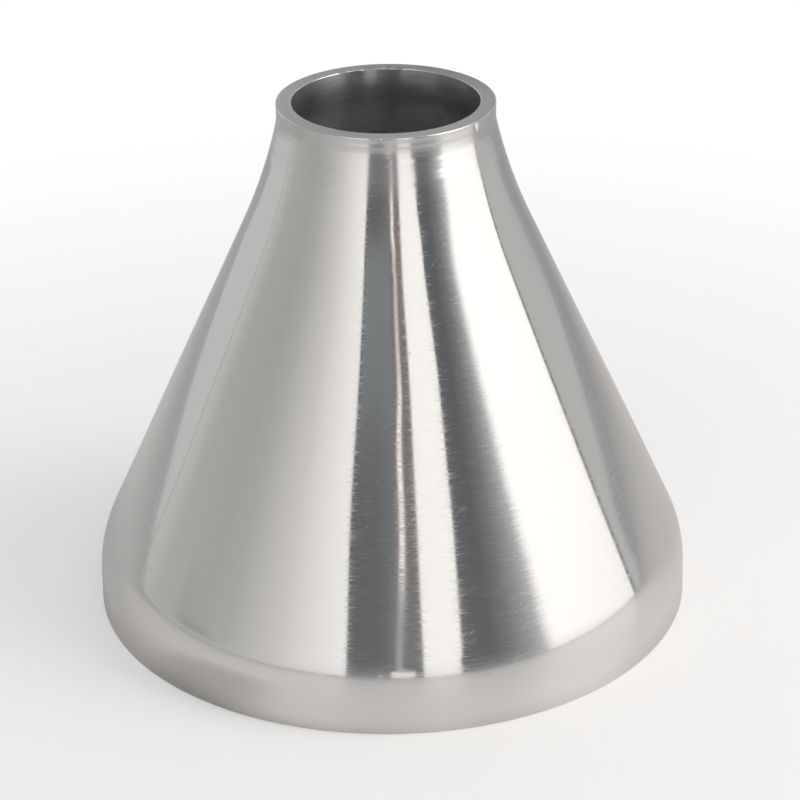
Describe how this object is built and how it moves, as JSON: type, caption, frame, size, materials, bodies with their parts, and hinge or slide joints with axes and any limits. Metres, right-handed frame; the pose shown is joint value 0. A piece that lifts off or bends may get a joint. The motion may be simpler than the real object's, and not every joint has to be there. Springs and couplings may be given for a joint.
{
  "type": "concentric reducer",
  "caption": "Conical butt-weld pipe fitting, round and open at both ends, that joins a wide tube to a narrow tube on the same axis.",
  "frame": {"origin": "centre of the wide end's face", "axes": "+Z along the fitting's axis from the wide end to the narrow end; X and Y are any two directions across it, because the fitting is round"},
  "size_m": [0.108, 0.108, 0.094],
  "materials": {
    "polished_stainless": "polished stainless steel with fine circumferential polishing lines, matt machined end faces"
  },
  "bodies": {
    "root": {"reducer_body": "polished_stainless"}
  },
  "joints": []
}
